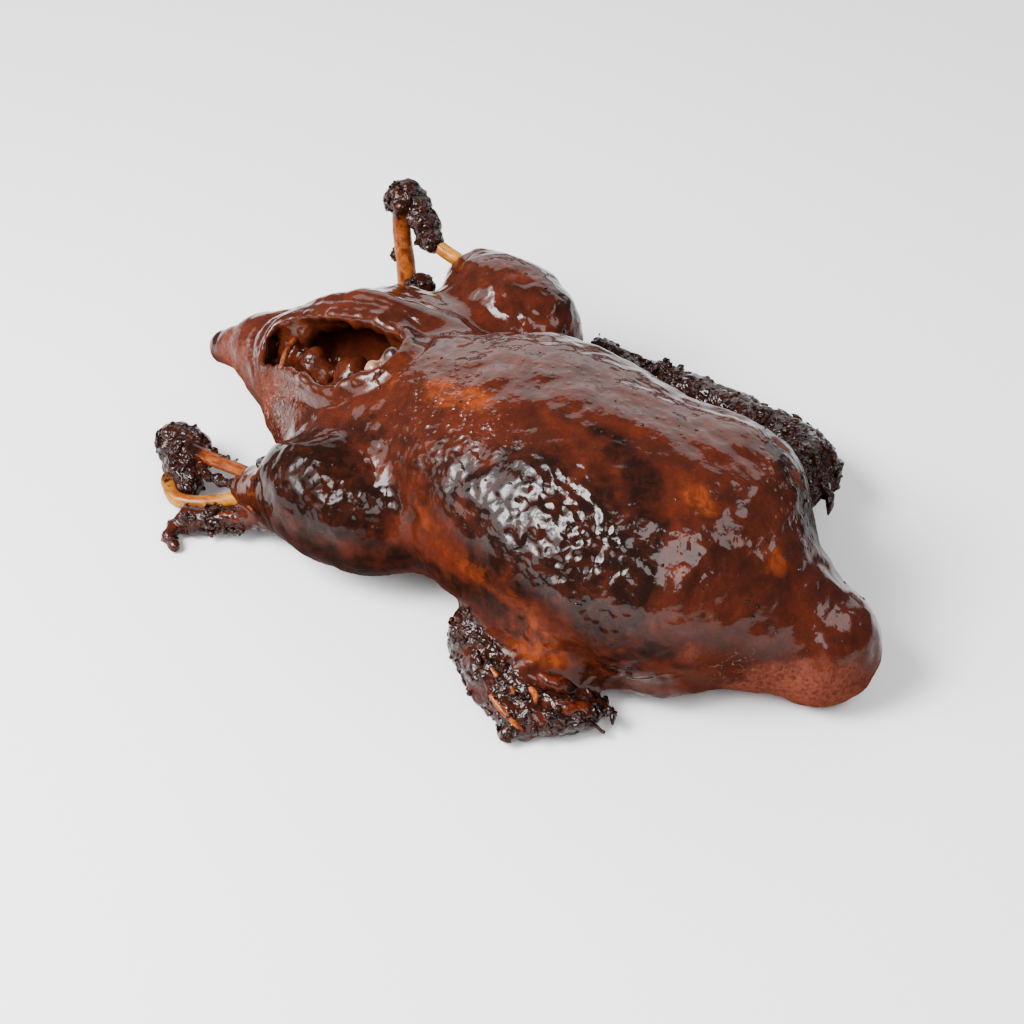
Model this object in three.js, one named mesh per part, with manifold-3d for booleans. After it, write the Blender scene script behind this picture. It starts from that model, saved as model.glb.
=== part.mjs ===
// A braised whole duck lying on its back, in millimetres, +Z up.
// +X runs along the bird from the tail to the neck stump, and -Y is the bird's left side. The origin is
// on the resting face, under the middle of the bird. Meat, skin, wings, tail and neck are one solid,
// shaped as smooth fields of rounded masses that are meshed on a grid. The bare leg bones, the burnt
// hocks and the bones that show at the vent are solids of their own, held in sockets.
import * as THREE from "three";
import { SimplifyModifier } from "three/addons/modifiers/SimplifyModifier.js";
import { mergeVertices } from "three/addons/utils/BufferGeometryUtils.js";
import Module from "manifold-3d";

const wasm = await Module();
wasm.setup();

// ---- Driving dimensions ----
const FINE_CELL = 3.4; // mesh cell before simplifying
const HOCK_CELL = 3; // mesh cell of the burnt joints
const CARTILAGE_CELL = 2.2;
const MEAT_KEEP = 0.068; // share of the meat's vertices that stay when its mesh is simplified
const LUMP_KEEP = 0.16; // the same for the hocks and the cartilage
const CUT_KEEP = 0.97; // and for a mesh that sockets were cut in
const SOCKET_GAP = 0.4; // clearance round a bone in its socket
const BONE_SIDES = 8;

// Rounded masses: centre, half lengths along, across and up, then yaw and pitch in degrees.
const BREAST = { centre: [52, 1, 46], half: [86, 65, 52], pitch: 4 };
const BELLY = { centre: [-42, 2, 40], half: [80, 48, 43], pitch: -4 };
const RUMP = { centre: [-98, 10, 38], half: [48, 26, 28.5], pitch: -8 };
const FLANK_RIGHT = { centre: [-84, 38, 50.5], half: [32, 24, 21.5], pitch: -6 };
const SHOULDER_RIGHT = { centre: [90, 32, 62], half: [32, 28, 25.5] };
const BACK_RIGHT = { centre: [12, 28, 72], half: [38, 24, 18] };
const SKIN_FLAP = { centre: [88, -22, 13], half: [33, 23, 8], yaw: 6 };
const THIGH_LEFT = { centre: [-39, -50, 37], half: [40.5, 26, 27], yaw: 12, pitch: 6 };
const THIGH_RIGHT = { centre: [-55, 75, 57.5], half: [35, 24, 23.5], yaw: -8, pitch: 8 };
const THIGH_HOLLOW = { centre: [-70, -68, 18], half: [4, 8, 7] };
const WING_WEB = { centre: [66, -48, 20], half: [24, 20, 17] };
const VENT_LIP = 2.6; // half thickness of the rolled skin round the vent
const VENT_LUMPS = [
  { centre: [-101, -3, 50], half: [8.5, 8, 9] },
  { centre: [-84, 3, 52], half: [7.5, 8, 9] },
  { centre: [-117, 2, 49], half: [8, 8, 8.5] },
  { centre: [-114, 3, 60.5], half: [5.5, 4.5, 4.5] },
  { centre: [-123, 2, 57.5], half: [5.5, 4, 3.5] },
];
const CARTILAGE = [
  { centre: [-55, -14.5, 77], half: [4.2, 4, 4.2] },
  { centre: [-50, -9, 80.5], half: [5.2, 4.8, 6.4] },
];

// Limbs: stations x, y, z and radius along the middle.
const VENT = [
  [-123, -2, 54, 8],
  [-110, -7, 58, 15.5],
  [-90, -8.5, 68, 17.5],
  [-74, -11.5, 77, 20.5],
  [-64, -9, 82, 17.5],
  [-58, -3, 76, 11.5],
];
const UNDERCUT = [
  [-108, 4, 50, 11],
  [-90, 7, 54, 14],
  [-73, 6, 61, 14],
]; // the hollow under the skin of the far side
const SKIN_FOLD = [
  [-120, 9, 61, 4.5],
  [-104, 14, 72, 5.5],
  [-90, 17, 78.5, 6.5],
  [-74, 18.5, 80.5, 6.5],
  [-52, 27, 73, 8],
]; // the thick fold of skin over it
const TAIL = [
  [-116, 10, 37, 18],
  [-143, 6, 37, 15],
  [-163, 2, 32, 7.5],
];
const NECK = [
  [96, 8, 42, 40],
  [126, 13, 28, 30],
  [147, 17, 22, 25],
];
const CUFF_LEFT = [
  [-66, -53, 30, 15],
  [-88, -53, 22, 10],
  [-97, -54, 19, 6],
];
const CUFF_RIGHT = [
  [-64, 77, 62, 14],
  [-80, 78, 66, 9],
];
const TOES_LEFT = [
  [-60, -57, 20, 8],
  [-79, -58, 14.5, 5.2],
  [-95, -65, 9.5, 5],
  [-109, -74, 7.5, 4.8],
];
const CLAW_LEFT = [
  [-109, -76, 6.5, 4.2],
  [-113, -80, 5.5, 2.9],
  [-111, -86, 4.5, 2.8],
  [-106, -88, 3, 2.3],
];
const WING_LEFT = [
  [56, -40, 30, 22],
  [42, -60, 18, 14],
  [58, -70, 12, 12],
  [78, -74, 8, 8.2],
  [89, -65, 8, 7],
  [94, -55, 7, 4.5],
];
const WING_TIP_LEFT = [
  [70, -74, 8, 8.5],
  [75, -83, 5, 5],
];
const WING_RIGHT = [
  [80, 64, 34, 20],
  [84, 105, 24, 11.5],
  [72, 116, 21, 11],
  [34, 119, 19, 10.7],
  [-8, 121, 18, 8.5],
  [-18, 122, 17, 6],
  [-34, 123, 17, 4.5],
  [-42, 123, 18, 6.5],
];
const HOCK_LEFT = [
  [-145, -46, 13, 10],
  [-137, -46, 14, 8.5],
  [-133, -56, 11, 8],
  [-125, -60, 10.5, 6],
];
const HOCK_RIGHT = [
  [-126, 84, 84.5, 8.8],
  [-113, 82, 78.5, 6.2],
  [-110, 81, 72, 5.4],
  [-103, 76, 75, 4.8],
];
const FOOT_RIGHT = [
  [-117, 70, 43, 6],
  [-107, 71, 52, 6],
];
const TIBIA_LEFT = [
  [-84, -54, 19, 3.4],
  [-97, -57, 14, 3.3],
  [-111, -64, 9, 3.2],
  [-123, -69, 8, 3.4],
  [-133, -64, 10, 3.8],
];
const TARSUS_LEFT = [
  [-78, -52, 29, 3.2],
  [-92, -51, 25, 2.9],
  [-112, -51, 22, 3],
  [-134, -49, 17, 3.8],
];
const TIBIA_RIGHT = [
  [-74, 78, 65, 3.4],
  [-86, 78, 69, 3.1],
  [-98, 76.5, 73, 3.2],
  [-106, 77.5, 74.8, 3.2],
];
const TARSUS_RIGHT = [
  [-114, 71, 44, 4.6],
  [-118, 74, 58, 4.4],
  [-121.5, 76, 72, 4.2],
  [-122, 77, 85, 4.2],
];
const PUBIC_BONE = [
  [-114.5, 0, 59, 1.6],
  [-111, -8, 60, 1.5],
  [-106, -16, 61.5, 1.4],
  [-101, -23, 62, 1.3],
];

const LOOKS = {
  skin: { color: 0x4a1a0e, roughness: 0.22 },
  bone: { color: 0xb5702a, roughness: 0.35 },
  shank: { color: 0x8a3f14, roughness: 0.35 },
  burnt: { color: 0x1c100c, roughness: 0.4 },
  cartilage: { color: 0xc99a80, roughness: 0.3 },
};

// Corners of the grids, with room all round the meat and the cartilage.
const MEAT_GRID = [[-200, -125, -25], [200, 150, 130]];
const CARTILAGE_GRID = [[-80, -40, 55], [-30, 15, 105]];

const vec = (x, y, z) => new THREE.Vector3(x, y, z);

// ---- Fields: functions of a point that are negative inside, with their zero at the surface ----

function mass({ centre, half, yaw = 0, pitch = 0 }) {
  const turn = new THREE.Quaternion().setFromEuler(
    new THREE.Euler(0, THREE.MathUtils.degToRad(pitch), THREE.MathUtils.degToRad(yaw), "ZYX"),
  );
  turn.invert();
  const middle = vec(...centre);
  const radii = vec(...half);
  const q = vec(0, 0, 0);
  return (p) => {
    q.copy(p).sub(middle).applyQuaternion(turn).divide(radii);
    const ratio = q.length();
    const slope = q.divide(radii).length();
    return slope > 1e-9 ? (ratio * (ratio - 1)) / slope : -Math.min(...half);
  };
}

// A chain of round-ended cones through its stations.
function limb(stations) {
  const along = vec(0, 0, 0);
  const from = vec(0, 0, 0);
  const spans = stations.slice(1).map((end, i) => {
    const start = stations[i];
    const a = vec(...start);
    return { a, ab: vec(...end).sub(a), ra: start[3], rb: end[3] };
  });
  return (p) => {
    let nearest = Infinity;
    for (const { a, ab, ra, rb } of spans) {
      from.copy(p).sub(a);
      const t = THREE.MathUtils.clamp(from.dot(ab) / ab.lengthSq(), 0, 1);
      along.copy(ab).multiplyScalar(t);
      nearest = Math.min(nearest, from.distanceTo(along) - THREE.MathUtils.lerp(ra, rb, t));
    }
    return nearest;
  };
}

// Joins two fields with a fillet of about the given size, and cuts one from another likewise.
function join(a, b, fillet) {
  return (p) => {
    const da = a(p);
    const db = b(p);
    const h = Math.max(fillet - Math.abs(da - db), 0) / fillet;
    return Math.min(da, db) - (h * h * fillet) / 4;
  };
}

function cut(a, b, fillet) {
  const inverse = join((p) => -a(p), b, fillet);
  return (p) => -inverse(p);
}

const joinAll = (first, ...more) =>
  more.reduce((whole, [field, fillet]) => join(whole, field, fillet), first);

// A tube round the line where two surfaces meet.
const rim = (a, b, radius) => (p) => Math.hypot(a(p), b(p)) - radius;

// ---- The bird's fields ----

function torso() {
  return joinAll(mass(BREAST), [mass(BELLY), 40], [mass(RUMP), 24], [limb(TAIL), 16], [limb(NECK), 22]);
}

function meatField() {
  const thighLeft = join(mass(THIGH_LEFT), limb(CUFF_LEFT), 10);
  const thighRight = join(mass(THIGH_RIGHT), limb(CUFF_RIGHT), 10);
  const toes = join(limb(TOES_LEFT), limb(CLAW_LEFT), 4);
  const wingLeft = joinAll(limb(WING_LEFT), [limb(WING_TIP_LEFT), 6], [mass(WING_WEB), 10]);
  const whole = joinAll(
    torso(),
    [mass(FLANK_RIGHT), 24],
    [mass(SHOULDER_RIGHT), 14],
    [mass(BACK_RIGHT), 14],
    [mass(SKIN_FLAP), 8],
    [thighLeft, 10],
    [thighRight, 14],
    [toes, 6],
    [wingLeft, 8],
    [limb(WING_RIGHT), 8],
  );
  const hollowed = cut(whole, mass(THIGH_HOLLOW), 4);
  const vent = limb(VENT);
  const opened = cut(hollowed, vent, 5);
  const lipped = joinAll(opened, [rim(whole, vent, VENT_LIP), 4], [limb(SKIN_FOLD), 9]);
  const undercut = cut(lipped, limb(UNDERCUT), 3);
  return joinAll(undercut, ...VENT_LUMPS.map((lump) => [mass(lump), 5]));
}

// ---- Meshing ----

// The six tetrahedra of a grid cube, as corner numbers whose bits are x, y and z: each walks from
// corner 0 to corner 7 along the three axes in another order, so that neighbouring cubes agree.
const TETRAHEDRA = [
  [0, 1, 3, 7],
  [0, 1, 5, 7],
  [0, 2, 3, 7],
  [0, 2, 6, 7],
  [0, 4, 5, 7],
  [0, 4, 6, 7],
];
const LEAST_SPAN = 0.06; // a vertex keeps this share of an edge's length from the edge's ends

// Marching tetrahedra: a closed mesh of the field's zero on a grid, with one vertex on each grid edge
// or diagonal that the surface crosses.
function fieldNet(field, low, high, cell) {
  const [nx, ny, nz] = high.clone().sub(low).divideScalar(cell).ceil().addScalar(1).toArray();
  const steps = (n) => vec(n % nx, Math.floor(n / nx) % ny, Math.floor(n / (nx * ny)));
  const place = (n) => steps(n).multiplyScalar(cell).add(low);
  const values = Float64Array.from({ length: nx * ny * nz }, (_, n) => field(place(n)));

  const positions = [];
  const vertexOf = new Map();
  const crossing = (inside, outside) => {
    const key = Math.min(inside, outside) * values.length + Math.max(inside, outside);
    if (!vertexOf.has(key)) {
      const share = values[inside] / (values[inside] - values[outside]);
      const t = THREE.MathUtils.clamp(share, LEAST_SPAN, 1 - LEAST_SPAN);
      vertexOf.set(key, positions.length);
      positions.push(place(inside).lerp(place(outside), t));
    }
    return vertexOf.get(key);
  };

  const triangles = [];
  const addFacing = (outward, a, b, c) => {
    const side = positions[b].clone().sub(positions[a]).cross(positions[c].clone().sub(positions[a]));
    triangles.push(...(side.dot(outward) > 0 ? [a, b, c] : [a, c, b]));
  };
  for (let k = 0; k < nz - 1; k++)
    for (let j = 0; j < ny - 1; j++)
      for (let i = 0; i < nx - 1; i++) {
        const corner = (bits) => i + (bits & 1) + nx * (j + ((bits >> 1) & 1) + ny * (k + (bits >> 2)));
        const first = values[corner(0)] < 0;
        if ([1, 2, 3, 4, 5, 6, 7].every((bits) => values[corner(bits)] < 0 === first)) continue;
        for (const tetrahedron of TETRAHEDRA) {
          const nodes = tetrahedron.map(corner);
          const inside = nodes.filter((n) => values[n] < 0);
          const outside = nodes.filter((n) => values[n] >= 0);
          if (!inside.length || !outside.length) continue;
          const outward = place(outside[0]).sub(place(inside[0]));
          const cuts = inside.flatMap((n, side) =>
            (side % 2 ? [...outside].reverse() : outside).map((m) => crossing(n, m)),
          );
          addFacing(outward, cuts[0], cuts[1], cuts[2]);
          if (cuts.length === 4) addFacing(outward, cuts[0], cuts[2], cuts[3]);
        }
      }

  const flat = positions.flatMap((p) => p.toArray());
  return new THREE.BufferGeometry()
    .setAttribute("position", new THREE.BufferAttribute(new Float32Array(flat), 3))
    .setIndex(triangles);
}

// The mesh of a chain of stations, on a grid that just holds it.
function limbMesh(field, stations, cell) {
  const low = vec(Infinity, Infinity, Infinity);
  const high = vec(-Infinity, -Infinity, -Infinity);
  for (const [x, y, z, r] of stations) {
    low.min(vec(x - r, y - r, z - r));
    high.max(vec(x + r, y + r, z + r));
  }
  return fieldNet(field, low.subScalar(2 * cell), high.addScalar(2 * cell), cell);
}

// A bone: rings of a round section along a smooth curve through its stations, closed by domed ends.
function bone(stations, grow = 0) {
  const curve = new THREE.CatmullRomCurve3(stations.map(([x, y, z]) => vec(x, y, z)));
  const radii = new THREE.CatmullRomCurve3(stations.map((station, i) => vec(i, station[3], 0)));
  const steps = (stations.length - 1) * 2;
  const frames = curve.computeFrenetFrames(steps, false);
  const centres = curve.getPoints(steps);
  const positions = [];
  const ring = (centre, i, radius) => {
    for (let s = 0; s < BONE_SIDES; s++) {
      const angle = (s / BONE_SIDES) * 2 * Math.PI;
      const side = frames.normals[i].clone().multiplyScalar(Math.cos(angle) * radius);
      side.addScaledVector(frames.binormals[i], Math.sin(angle) * radius).add(centre);
      positions.push(side.x, side.y, side.z);
    }
  };
  const dome = (i, direction) => {
    const radius = radii.getPoint(i / steps).y + grow;
    const tip = centres[i].clone().addScaledVector(frames.tangents[i], direction * radius * 0.6);
    const shoulder = centres[i].clone().addScaledVector(frames.tangents[i], direction * radius * 0.4);
    return { tip, shoulder, radius };
  };
  const foot = dome(0, -1);
  const head = dome(steps, 1);
  positions.push(foot.tip.x, foot.tip.y, foot.tip.z);
  ring(foot.shoulder, 0, foot.radius * 0.75);
  centres.forEach((centre, i) => ring(centre, i, radii.getPoint(i / steps).y + grow));
  ring(head.shoulder, steps, head.radius * 0.75);
  positions.push(head.tip.x, head.tip.y, head.tip.z);

  const triangles = [];
  const rings = steps + 3;
  const at = (r, s) => 1 + r * BONE_SIDES + (s % BONE_SIDES);
  const last = 1 + rings * BONE_SIDES;
  for (let s = 0; s < BONE_SIDES; s++) {
    triangles.push(0, at(0, s + 1), at(0, s));
    for (let r = 0; r < rings - 1; r++) {
      triangles.push(at(r, s), at(r, s + 1), at(r + 1, s + 1));
      triangles.push(at(r, s), at(r + 1, s + 1), at(r + 1, s));
    }
    triangles.push(last, at(rings - 1, s), at(rings - 1, s + 1));
  }
  return new THREE.BufferGeometry()
    .setAttribute("position", new THREE.BufferAttribute(new Float32Array(positions), 3))
    .setIndex(triangles);
}

// ---- Solids ----

function toSolid(geometry) {
  const bare = geometry.clone();
  bare.deleteAttribute("normal");
  bare.deleteAttribute("uv");
  const merged = mergeVertices(bare, 1e-4);
  return new wasm.Manifold(
    new wasm.Mesh({
      numProp: 3,
      vertProperties: new Float32Array(merged.attributes.position.array),
      triVerts: new Uint32Array(merged.index.array),
    }),
  );
}

function toGeometry(solid) {
  const mesh = solid.getMesh();
  return new THREE.BufferGeometry()
    .setAttribute("position", new THREE.BufferAttribute(new Float32Array(mesh.vertProperties), 3))
    .setIndex(new THREE.BufferAttribute(new Uint32Array(mesh.triVerts), 1));
}

// Keeps about the given share of a mesh's vertices, the most where the surface is least flat.
async function simplify(geometry, keep) {
  const merged = mergeVertices(geometry, 1e-4);
  return new SimplifyModifier().modify(merged, Math.round(merged.attributes.position.count * (1 - keep)));
}

// What lies under the resting face, to be cut away.
function underTheTable() {
  const side = 600;
  return toSolid(new THREE.BoxGeometry(side, side, side).translate(0, 0, -side / 2));
}

async function meat() {
  const fine = fieldNet(meatField(), vec(...MEAT_GRID[0]), vec(...MEAT_GRID[1]), FINE_CELL);
  return toSolid(await simplify(fine, MEAT_KEEP)).subtract(underTheTable());
}

// The gristle at the end of the breastbone, which lies on the near wall of the vent.
async function cartilage(grow = 0) {
  const [tip, neck] = CARTILAGE.map(({ centre, half }) => mass({ centre, half: half.map((h) => h + grow) }));
  const [low, high] = CARTILAGE_GRID;
  const net = fieldNet(join(tip, neck, 2), vec(...low), vec(...high), CARTILAGE_CELL);
  return toSolid(await simplify(net, LUMP_KEEP));
}

async function hock(stations) {
  return toSolid(await simplify(limbMesh(limb(stations), stations, HOCK_CELL), LUMP_KEEP));
}

// Cuts sockets for bones, and drops the slivers that cutting leaves.
async function withSockets(solid, bones) {
  const left = bones.reduce((rest, stations) => rest.subtract(toSolid(bone(stations, SOCKET_GAP))), solid);
  return simplify(toGeometry(left), CUT_KEEP);
}

// ---- Scene ----
const root = new THREE.Group();
root.name = "braised_duck";

function add(name, geometry, look) {
  const material = new THREE.MeshStandardMaterial({ ...look, metalness: 0 });
  const mesh = new THREE.Mesh(geometry, material);
  mesh.name = name;
  root.add(mesh);
}

const duckBones = [TIBIA_LEFT, TARSUS_LEFT, TIBIA_RIGHT, TARSUS_RIGHT, PUBIC_BONE];
const meatAndSkin = (await meat()).subtract(await cartilage(SOCKET_GAP));
add("duck", await withSockets(meatAndSkin, duckBones), LOOKS.skin);
add("tibia_left", bone(TIBIA_LEFT), LOOKS.bone);
add("tarsus_left", bone(TARSUS_LEFT), LOOKS.shank);
add("tibia_right", bone(TIBIA_RIGHT), LOOKS.bone);
add("tarsus_right", bone(TARSUS_RIGHT), LOOKS.shank);
add("pubic_bone", bone(PUBIC_BONE), LOOKS.bone);
add("keel_cartilage", toGeometry(await cartilage()), LOOKS.cartilage);
for (const [name, stations, bones] of [
  ["hock_left", HOCK_LEFT, [TIBIA_LEFT, TARSUS_LEFT]],
  ["hock_right", HOCK_RIGHT, [TIBIA_RIGHT, TARSUS_RIGHT]],
  ["foot_right", FOOT_RIGHT, [TARSUS_RIGHT]],
]) {
  add(name, await withSockets(await hock(stations), bones), LOOKS.burnt);
}

export default root;
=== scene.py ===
"""A braised whole duck: glazed skin over the meat, bare leg bones, burnt hocks and wings.

Measures are in millimetres until new_mesh turns them into metres. +X runs from the tail to the neck, -Y is
the bird's left and +Z is up, and the bird rests at z = 0.
"""
import math

import bpy
import numpy as np
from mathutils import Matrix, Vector


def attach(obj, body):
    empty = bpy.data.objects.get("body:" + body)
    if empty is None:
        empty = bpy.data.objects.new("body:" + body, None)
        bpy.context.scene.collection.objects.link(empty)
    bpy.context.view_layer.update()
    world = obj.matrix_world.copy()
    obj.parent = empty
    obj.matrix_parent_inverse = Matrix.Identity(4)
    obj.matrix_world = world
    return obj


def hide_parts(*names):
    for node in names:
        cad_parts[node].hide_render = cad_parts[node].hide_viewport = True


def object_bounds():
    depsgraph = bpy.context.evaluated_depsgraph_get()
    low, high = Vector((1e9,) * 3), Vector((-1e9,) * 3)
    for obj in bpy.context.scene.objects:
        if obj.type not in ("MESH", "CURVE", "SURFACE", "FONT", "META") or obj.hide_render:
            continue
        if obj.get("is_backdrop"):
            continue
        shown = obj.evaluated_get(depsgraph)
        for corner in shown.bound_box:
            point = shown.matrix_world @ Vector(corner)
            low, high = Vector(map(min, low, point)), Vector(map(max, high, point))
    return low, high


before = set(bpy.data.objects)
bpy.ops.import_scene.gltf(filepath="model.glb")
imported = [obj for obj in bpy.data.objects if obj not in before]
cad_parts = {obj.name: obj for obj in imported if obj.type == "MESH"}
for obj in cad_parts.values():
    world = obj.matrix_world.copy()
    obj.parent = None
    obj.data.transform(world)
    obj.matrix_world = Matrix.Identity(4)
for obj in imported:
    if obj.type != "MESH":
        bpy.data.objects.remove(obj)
cad_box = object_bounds()
MM = 0.001
TINY = 1e-9           # keeps a division by a length from failing
CORNERS = [(i, j, k) for i in (0, 1) for j in (0, 1) for k in (0, 1)]
UNITS = np.eye(3, dtype=int)

# ------------------------------------------------------------
# Fields, in millimetres: functions of an (n, 3) array that are negative inside the shape
# ------------------------------------------------------------


def mass(centre, half, yaw=0.0, pitch=0.0):
    """An ellipsoid, turned about Y by pitch and then about Z by yaw, in degrees."""
    y, p = math.radians(yaw), math.radians(pitch)
    turn_z = np.array([[math.cos(y), -math.sin(y), 0], [math.sin(y), math.cos(y), 0], [0, 0, 1]])
    turn_y = np.array([[math.cos(p), 0, math.sin(p)], [0, 1, 0], [-math.sin(p), 0, math.cos(p)]])
    turn = turn_z @ turn_y
    middle, radii = np.array(centre, float), np.array(half, float)

    def field(points):
        q = (points - middle) @ turn / radii
        ratio = np.linalg.norm(q, axis=1)
        slope = np.maximum(np.linalg.norm(q / radii, axis=1), TINY)
        return ratio * (ratio - 1) / slope

    return field


def limb(stations):
    """A chain of round-ended cones through stations of x, y, z and radius."""
    rows = np.array(stations, float)

    def field(points):
        nearest = np.full(len(points), np.inf)
        for start, end in zip(rows[:-1], rows[1:]):
            ab = end[:3] - start[:3]
            t = np.clip((points - start[:3]) @ ab / (ab @ ab), 0, 1)
            gap = np.linalg.norm(points - start[:3] - t[:, None] * ab, axis=1)
            nearest = np.minimum(nearest, gap - (start[3] + t * (end[3] - start[3])))
        return nearest

    return field


def join(a, b, fillet):
    """Both shapes, blended where their surfaces are less than the fillet apart."""
    def field(points):
        da, db = a(points), b(points)
        h = np.maximum(fillet - np.abs(da - db), 0) / fillet
        return np.minimum(da, db) - h * h * fillet / 4

    return field


def cut(a, b, fillet):
    """The first shape without the second."""
    inverse = join(lambda points: -a(points), b, fillet)
    return lambda points: -inverse(points)


def join_all(first, *more):
    """The first shape joined with the others, each given with its fillet."""
    whole = first
    for field, fillet in more:
        whole = join(whole, field, fillet)
    return whole


def rim(a, b, radius):
    """A tube round the line where two surfaces meet."""
    return lambda points: np.hypot(a(points), b(points)) - radius


FAR = 100.0           # stands for the field's value away from the surface
BLOCK_REACH = 1.1875  # of a block's side: over half its diagonal, as a blended field isn't quite a distance
BATCH = 200000        # points worked out at a time, to spare memory


def grid(shape):
    """Every index of an array of the given shape, in order."""
    return np.stack(np.indices(shape), -1).reshape(-1, 3)


def sampled(field, low, blocks, cell, coarse):
    """The field at the corners of cells, worked out only in the blocks of cells near the surface."""
    size = blocks * coarse + 1
    values = np.empty(size)
    corner = grid(blocks)
    rough = field(low + (corner + 0.5) * coarse * cell)
    near = np.abs(rough) < coarse * cell * BLOCK_REACH
    sides = np.where(rough.reshape(blocks) < 0, -FAR, FAR)
    values[:-1, :-1, :-1] = sides.repeat(coarse, 0).repeat(coarse, 1).repeat(coarse, 2)
    values[-1], values[:, -1], values[:, :, -1] = FAR, FAR, FAR
    index = (corner[near][:, None, :] * coarse + grid([coarse + 1] * 3)).reshape(-1, 3)
    flat = np.unique(np.ravel_multi_index(index.T, size))
    where = np.stack(np.unravel_index(flat, size), -1)
    for first in range(0, len(flat), BATCH):
        part = slice(first, first + BATCH)
        values.ravel()[flat[part]] = field(low + where[part] * cell)
    return values


def crossings(values, cells):
    """The mean of the places where the surface crosses each cell's edges, counted in cells."""
    total, weight = np.zeros((len(cells), 3)), np.zeros(len(cells))
    for a in CORNERS:
        for axis in range(3):
            if a[axis]:
                continue
            va = values[tuple((cells + a).T)]
            vb = values[tuple((cells + a + UNITS[axis]).T)]
            crossed = (va < 0) != (vb < 0)
            t = np.where(crossed, va / np.where(crossed, va - vb, 1), 0)
            place = cells + a + t[:, None] * UNITS[axis]
            total += place * crossed[:, None]
            weight += crossed
    return total / weight[:, None]


def net_quads(inside, number):
    """A quad of cell numbers round each edge of the grid that crosses the surface, facing outwards."""
    quads = []
    for axis in range(3):
        du, dv = UNITS[(axis + 1) % 3], UNITS[(axis + 2) % 3]
        here = inside[tuple(slice(0, -1) if n == axis else slice(1, -1) for n in range(3))]
        ahead = inside[tuple(slice(1, None) if n == axis else slice(1, -1) for n in range(3))]
        edges = np.argwhere(here != ahead)
        leaving = here[tuple(edges.T)]
        base = edges + 1 - UNITS[axis]
        ring = [number[tuple((base - s * du - t * dv).T)] for s, t in ((1, 1), (0, 1), (0, 0), (1, 0))]
        ring = np.stack(ring, -1)
        quads.append(np.where(leaving[:, None], ring, ring[:, ::-1]))
    quads = np.concatenate(quads)
    return quads[(quads >= 0).all(1)]


def field_net(field, low, high, cell, coarse=6):
    """Surface nets: the points and quads of a field's zero, in blocks of so many cells each way."""
    low, high = np.array(low, float), np.array(high, float)
    blocks = np.ceil((high - low) / (cell * coarse)).astype(int)
    values = sampled(field, low, blocks, cell, coarse)
    inside = values < 0
    nx, ny, nz = blocks * coarse
    count = sum(inside[i:i + nx, j:j + ny, k:k + nz].astype(np.int8) for i, j, k in CORNERS)
    cells = np.argwhere((count > 0) & (count < len(CORNERS)))
    number = np.full((nx, ny, nz), -1)
    number[tuple(cells.T)] = np.arange(len(cells))
    return low + crossings(values, cells) * cell, net_quads(inside, number)


# ------------------------------------------------------------
# The bird's measures: masses by centre, half lengths and turns, limbs by x, y, z and radius
# ------------------------------------------------------------

BREAST = dict(centre=[52, 1, 46], half=[86, 65, 52], pitch=4)
BELLY = dict(centre=[-42, 2, 40], half=[80, 48, 43], pitch=-4)
RUMP = dict(centre=[-98, 10, 38], half=[48, 26, 28.5], pitch=-8)
FLANK_RIGHT = dict(centre=[-84, 38, 50.5], half=[32, 24, 21.5], pitch=-6)
SHOULDER_RIGHT = dict(centre=[90, 32, 62], half=[32, 28, 25.5])
BACK_RIGHT = dict(centre=[12, 28, 72], half=[38, 24, 18])
SKIN_FLAP = dict(centre=[88, -22, 13], half=[33, 23, 8], yaw=6)
THIGH_LEFT = dict(centre=[-39, -50, 37], half=[40.5, 26, 27], yaw=12, pitch=6)
THIGH_RIGHT = dict(centre=[-55, 75, 57.5], half=[35, 24, 23.5], yaw=-8, pitch=8)
THIGH_HOLLOW = dict(centre=[-70, -68, 18], half=[4, 8, 7])
WING_WEB = dict(centre=[66, -48, 20], half=[24, 20, 17])
VENT_LIP = 2.6
VENT_LUMPS = [
    dict(centre=[-101, -3, 50], half=[8.5, 8, 9]),
    dict(centre=[-84, 3, 52], half=[7.5, 8, 9]),
    dict(centre=[-117, 2, 49], half=[8, 8, 8.5]),
    dict(centre=[-114, 3, 60.5], half=[5.5, 4.5, 4.5]),
    dict(centre=[-123, 2, 57.5], half=[5.5, 4, 3.5]),
]
CARTILAGE = [
    dict(centre=[-55, -14.5, 77], half=[4.2, 4, 4.2]),
    dict(centre=[-50, -9, 80.5], half=[5.2, 4.8, 6.4]),
]
VENT = [
    [-123, -2, 54, 8], [-110, -7, 58, 15.5], [-90, -8.5, 68, 17.5],
    [-74, -11.5, 77, 20.5], [-64, -9, 82, 17.5], [-58, -3, 76, 11.5],
]
UNDERCUT = [[-108, 4, 50, 11], [-90, 7, 54, 14], [-73, 6, 61, 14]]
SKIN_FOLD = [
    [-120, 9, 61, 4.5], [-104, 14, 72, 5.5], [-90, 17, 78.5, 6.5], [-74, 18.5, 80.5, 6.5], [-52, 27, 73, 8],
]
TAIL = [[-116, 10, 37, 18], [-143, 6, 37, 15], [-163, 2, 32, 7.5]]
NECK = [[96, 8, 42, 40], [126, 13, 28, 30], [147, 17, 22, 25]]
CUFF_LEFT = [[-66, -53, 30, 15], [-88, -53, 22, 10], [-97, -54, 19, 6]]
CUFF_RIGHT = [[-64, 77, 62, 14], [-80, 78, 66, 9]]
TOES_LEFT = [[-60, -57, 20, 8], [-79, -58, 14.5, 5.2], [-95, -65, 9.5, 5], [-109, -74, 7.5, 4.8]]
CLAW_LEFT = [[-109, -76, 6.5, 4.2], [-113, -80, 5.5, 2.9], [-111, -86, 4.5, 2.8], [-106, -88, 3, 2.3]]
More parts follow.
